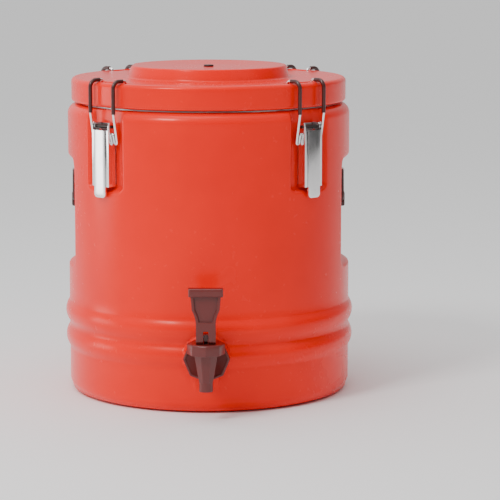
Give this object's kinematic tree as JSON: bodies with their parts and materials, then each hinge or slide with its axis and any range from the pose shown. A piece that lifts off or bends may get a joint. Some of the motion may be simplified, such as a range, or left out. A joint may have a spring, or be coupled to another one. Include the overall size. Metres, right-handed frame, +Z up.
{
  "type": "beverage dispenser",
  "caption": "Insulated round drum dispenser with a steel tank, a lid held by wire-bail latches, swinging side handles and a spring-return lever tap.",
  "frame": {"origin": "centre of the flat base, on the drum's own axis", "axes": "+Z up along the drum's axis, -Y towards the tap, +X towards the right side handle"},
  "size_m": [0.3686, 0.4295, 0.4155],
  "materials": {
    "shell_plastic": "satin",
    "satin_steel": "satin",
    "bright_steel": "polished",
    "grip_plastic": "satin",
    "tap_plastic": "satin",
    "seal_rubber": "matte",
    "vent_plastic": "matte",
    "foam": "matte"
  },
  "bodies": {
    "drum": {"outer_shell": "shell_plastic", "foam_insulation": "foam", "inner_liner": "satin_steel", "latch_base_front_left": "satin_steel", "latch_rivets_front_left": "satin_steel", "latch_pin_front_left": "satin_steel", "latch_base_front_right": "satin_steel", "latch_rivets_front_right": "satin_steel", "latch_pin_front_right": "satin_steel", "latch_base_rear_right": "satin_steel", "latch_rivets_rear_right": "satin_steel", "latch_pin_rear_right": "satin_steel", "latch_base_rear_left": "satin_steel", "latch_rivets_rear_left": "satin_steel", "latch_pin_rear_left": "satin_steel", "handle_plate_right": "satin_steel", "handle_rivets_right": "satin_steel", "handle_plate_left": "satin_steel", "handle_rivets_left": "satin_steel", "tap_body": "tap_plastic", "tap_outer_seal": "seal_rubber", "tap_flange": "tap_plastic", "tap_inner_seal": "seal_rubber", "tap_nut": "tap_plastic", "tap_bonnet": "tap_plastic", "tap_spring": "satin_steel"},
    "lid": {"lid_shell": "shell_plastic", "lid_pan": "shell_plastic", "lid_foam": "foam", "lid_gasket": "seal_rubber", "vent_tube": "vent_plastic"},
    "vent": {"vent_plug": "vent_plastic"},
    "lever_front_left": {"latch_lever_front_left": "bright_steel"},
    "bail_front_left": {"latch_bail_front_left": "bright_steel", "latch_sleeves_front_left": "grip_plastic"},
    "lever_front_right": {"latch_lever_front_right": "bright_steel"},
    "bail_front_right": {"latch_bail_front_right": "bright_steel", "latch_sleeves_front_right": "grip_plastic"},
    "lever_rear_right": {"latch_lever_rear_right": "bright_steel"},
    "bail_rear_right": {"latch_bail_rear_right": "bright_steel", "latch_sleeves_rear_right": "grip_plastic"},
    "lever_rear_left": {"latch_lever_rear_left": "bright_steel"},
    "bail_rear_left": {"latch_bail_rear_left": "bright_steel", "latch_sleeves_rear_left": "grip_plastic"},
    "handle_right": {"handle_bail_right": "grip_plastic", "handle_grip_right": "grip_plastic"},
    "handle_left": {"handle_bail_left": "grip_plastic", "handle_grip_left": "grip_plastic"},
    "valve": {"tap_stem": "tap_plastic", "tap_seat_cup": "seal_rubber"},
    "tap_handle": {"tap_lever": "tap_plastic", "tap_lever_pin": "satin_steel"}
  },
  "joints": [
    {"name": "lid_lift", "type": "slide", "parent": "drum", "child": "lid", "axis": [0, 0, 1], "range_m": [0, 0.12]},
    {"name": "vent_pull", "type": "slide", "parent": "lid", "child": "vent", "axis": [0, 0, 1], "range_m": [0, 0.008]},
    {"name": "latch_front_left", "type": "hinge", "parent": "drum", "child": "lever_front_left", "pos_m": [-0.12657, -0.12657, 0.3485], "axis": [-0.7071, 0.7071, 0], "range_deg": [0, 165], "deforming": ["latch_bail_front_left", "latch_sleeves_front_left"]},
    {"name": "bail_front_left", "type": "hinge", "parent": "lever_front_left", "child": "bail_front_left", "pos_m": [-0.12602, -0.12602, 0.33953], "axis": [0.7071, -0.7071, 0], "range_deg": [0, 186]},
    {"name": "latch_front_right", "type": "hinge", "parent": "drum", "child": "lever_front_right", "pos_m": [0.12657, -0.12657, 0.3485], "axis": [-0.7071, -0.7071, 0], "range_deg": [0, 165], "deforming": ["latch_bail_front_right", "latch_sleeves_front_right"]},
    {"name": "bail_front_right", "type": "hinge", "parent": "lever_front_right", "child": "bail_front_right", "pos_m": [0.12602, -0.12602, 0.33953], "axis": [0.7071, 0.7071, 0], "range_deg": [0, 186]},
    {"name": "latch_rear_right", "type": "hinge", "parent": "drum", "child": "lever_rear_right", "pos_m": [0.12657, 0.12657, 0.3485], "axis": [0.7071, -0.7071, 0], "range_deg": [0, 165], "deforming": ["latch_bail_rear_right", "latch_sleeves_rear_right"]},
    {"name": "bail_rear_right", "type": "hinge", "parent": "lever_rear_right", "child": "bail_rear_right", "pos_m": [0.12602, 0.12602, 0.33953], "axis": [-0.7071, 0.7071, 0], "range_deg": [0, 186]},
    {"name": "latch_rear_left", "type": "hinge", "parent": "drum", "child": "lever_rear_left", "pos_m": [-0.12657, 0.12657, 0.3485], "axis": [0.7071, 0.7071, 0], "range_deg": [0, 165], "deforming": ["latch_bail_rear_left", "latch_sleeves_rear_left"]},
    {"name": "bail_rear_left", "type": "hinge", "parent": "lever_rear_left", "child": "bail_rear_left", "pos_m": [-0.12602, 0.12602, 0.33953], "axis": [-0.7071, -0.7071, 0], "range_deg": [0, 186]},
    {"name": "handle_right_swing", "type": "hinge", "parent": "drum", "child": "handle_right", "pos_m": [0.1694, 0, 0.285], "axis": [0, -1, 0], "range_deg": [0, 90]},
    {"name": "handle_left_swing", "type": "hinge", "parent": "drum", "child": "handle_left", "pos_m": [-0.1694, 0, 0.285], "axis": [0, 1, 0], "range_deg": [0, 90]},
    {"name": "tap_pull", "type": "hinge", "parent": "drum", "child": "tap_handle", "pos_m": [0, -0.231, 0.1013], "axis": [1, 0, 0], "range_deg": [0, 35], "stiffness_Nm_per_rad": 0.6, "springref_deg": -28.65},
    {"name": "valve_lift", "type": "slide", "parent": "drum", "child": "valve", "axis": [0, 0, 1], "range_m": [0, 0.0047], "deforming": ["tap_spring"]}
  ],
  "couplings": [
    {"joint": "bail_front_left", "follows": "latch_front_left", "ratio": 1.12},
    {"joint": "bail_front_right", "follows": "latch_front_right", "ratio": 1.12},
    {"joint": "bail_rear_right", "follows": "latch_rear_right", "ratio": 1.12},
    {"joint": "bail_rear_left", "follows": "latch_rear_left", "ratio": 1.12},
    {"joint": "valve_lift", "follows": "tap_pull", "m_per_rad": 0.007645}
  ]
}
